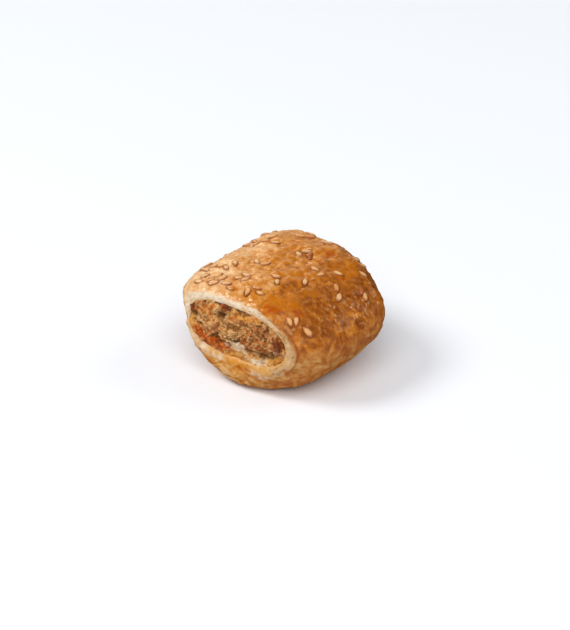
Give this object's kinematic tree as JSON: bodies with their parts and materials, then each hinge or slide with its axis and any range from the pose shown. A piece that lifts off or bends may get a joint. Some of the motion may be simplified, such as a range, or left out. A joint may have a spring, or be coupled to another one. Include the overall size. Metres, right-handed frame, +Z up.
{
  "type": "mini sausage roll",
  "caption": "Bite-size roll of glazed baked pastry round a coarse minced meat filling that shows at both cut ends, with sesame on the crust; it rests on a flattened underside.",
  "frame": {"origin": "under the middle of the roll's box, on the flattened underside that it rests on", "axes": "+Z up; the roll's axis lies along Y with the shown cut face to -Y; X runs across the roll"},
  "size_m": [0.0508, 0.0474, 0.0297],
  "materials": {
    "crust": "glazed golden-brown baked dough, satin",
    "filling": "coarse baked minced meat, matt"
  },
  "bodies": {
    "root": {"pastry": "crust", "filling": "filling"}
  },
  "joints": []
}
